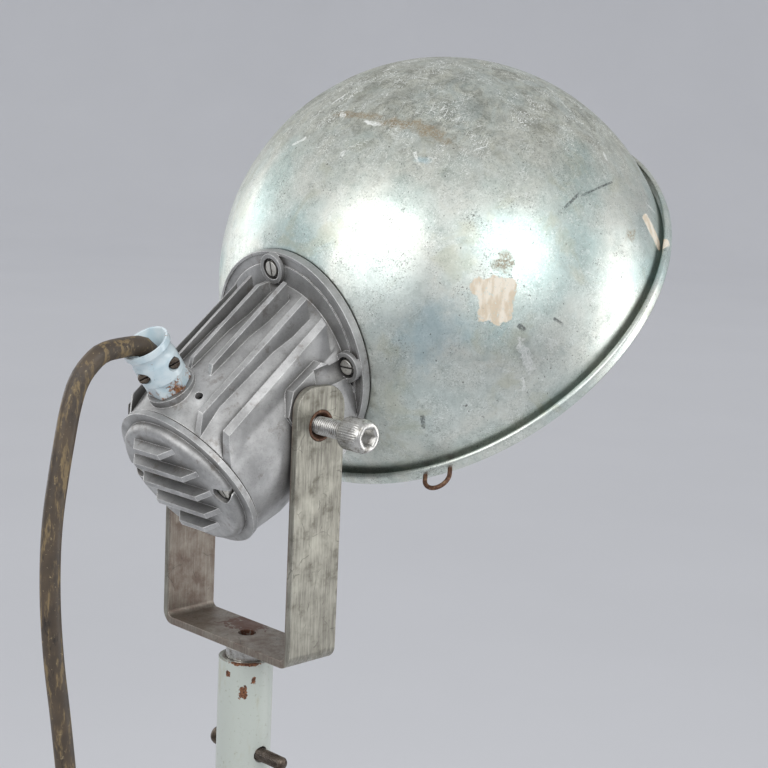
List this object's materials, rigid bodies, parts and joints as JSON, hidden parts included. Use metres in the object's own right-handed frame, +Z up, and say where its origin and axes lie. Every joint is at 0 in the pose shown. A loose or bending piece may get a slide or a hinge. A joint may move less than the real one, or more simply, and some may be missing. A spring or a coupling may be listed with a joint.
{
  "type": "tripod floor lamp",
  "caption": "Floodlight with a spun bowl on a finned cast housing, tilting in a bent yoke on a sliding mast over a folding tripod stand",
  "frame": {"origin": "floor, plumb under the mast's axis", "axes": "+Z up along the mast, +X the way the light faces, the tilt axis along Y"},
  "size_m": [0.8366, 0.8614, 1.6904],
  "materials": {
    "stand_paint": "satin",
    "mast_paint": "satin",
    "zinc_steel": "satin",
    "black_steel": "matte",
    "yoke_steel": "satin",
    "bright_steel": "satin",
    "rusty_steel": "matte",
    "cast_aluminium": "matte",
    "spun_aluminium": "satin",
    "gland_enamel": "gloss",
    "brass": "satin",
    "porcelain": "gloss",
    "lamp_glass": "gloss",
    "burner": "matte",
    "nylon": "matte",
    "black_plastic": "matte",
    "gasket_rubber": "matte",
    "foot_rubber": "matte",
    "cord_rubber": "matte",
    "core_sleeve": "gloss"
  },
  "bodies": {
    "stand": {"hub": "stand_paint", "hub_liner": "nylon", "hinge_bolts": "zinc_steel", "hinge_nuts": "zinc_steel", "cord_drop": "cord_rubber", "cord_coil": "cord_rubber", "cord_tail": "cord_rubber", "plug_body": "black_plastic", "plug_relief": "gasket_rubber", "plug_pins": "bright_steel"},
    "leg_1": {"leg_1_fitting": "stand_paint", "leg_1_tube": "stand_paint", "leg_1_rivets": "zinc_steel", "leg_1_foot": "foot_rubber"},
    "leg_2": {"leg_2_fitting": "stand_paint", "leg_2_tube": "stand_paint", "leg_2_rivets": "zinc_steel", "leg_2_foot": "foot_rubber"},
    "leg_3": {"leg_3_fitting": "stand_paint", "leg_3_tube": "stand_paint", "leg_3_rivets": "zinc_steel", "leg_3_foot": "foot_rubber"},
    "clamp": {"clamp_screw": "zinc_steel", "tommy_bar": "zinc_steel", "tommy_caps": "black_plastic"},
    "mast": {"mast_tube": "mast_paint", "mast_plug": "black_plastic", "spigot_sleeve": "zinc_steel", "spigot_screws": "black_steel"},
    "yoke": {"yoke": "yoke_steel", "spigot": "bright_steel", "spigot_weld": "yoke_steel", "pivot_bushes": "rusty_steel"},
    "head": {"housing": "cast_aluminium", "pivot_screws": "bright_steel", "reflector": "spun_aluminium", "rim_loop": "rusty_steel", "flange_gasket": "gasket_rubber", "flange_screws": "zinc_steel", "backing_ring": "zinc_steel", "end_cap": "cast_aluminium", "cap_gasket": "gasket_rubber", "cap_screws": "zinc_steel", "lampholder": "porcelain", "holder_shell": "brass", "holder_screws": "zinc_steel", "bracket": "zinc_steel", "bracket_screws": "brass", "terminal_block": "nylon", "core_wires": "core_sleeve", "lamp_cap": "brass", "lamp_glass": "lamp_glass", "lamp_burner": "burner", "gland_base": "gland_enamel", "gland_seal": "gasket_rubber", "gland_half_right": "gland_enamel", "gland_half_left": "gland_enamel", "gland_screws": "black_steel", "cord_neck": "cord_rubber"}
  },
  "joints": [
    {"name": "leg_1_fold", "type": "hinge", "parent": "stand", "child": "leg_1", "pos_m": [0.062, 0, 0.925], "axis": [0, 1, 0], "range_deg": [0, 22]},
    {"name": "leg_2_fold", "type": "hinge", "parent": "stand", "child": "leg_2", "pos_m": [-0.031, 0.05369, 0.925], "axis": [-0.866, -0.5, 0], "range_deg": [0, 22]},
    {"name": "leg_3_fold", "type": "hinge", "parent": "stand", "child": "leg_3", "pos_m": [-0.031, -0.05369, 0.925], "axis": [0.866, -0.5, 0], "range_deg": [0, 22]},
    {"name": "clamp_turn", "type": "hinge", "parent": "stand", "child": "clamp", "pos_m": [-0.069, 0, 0.976], "axis": [-1, 0, 0], "range_deg": [0, 360]},
    {"name": "mast_height", "type": "slide", "parent": "stand", "child": "mast", "axis": [0, 0, 1], "range_m": [-0.2, 0.12]},
    {"name": "yoke_pan", "type": "hinge", "parent": "mast", "child": "yoke", "pos_m": [0, 0, 1.29], "axis": [0, 0, 1], "range_deg": [-75, 75]},
    {"name": "head_tilt", "type": "hinge", "parent": "yoke", "child": "head", "pos_m": [0, 0, 1.46], "axis": [0, -1, 0], "range_deg": [-30, 45]}
  ]
}
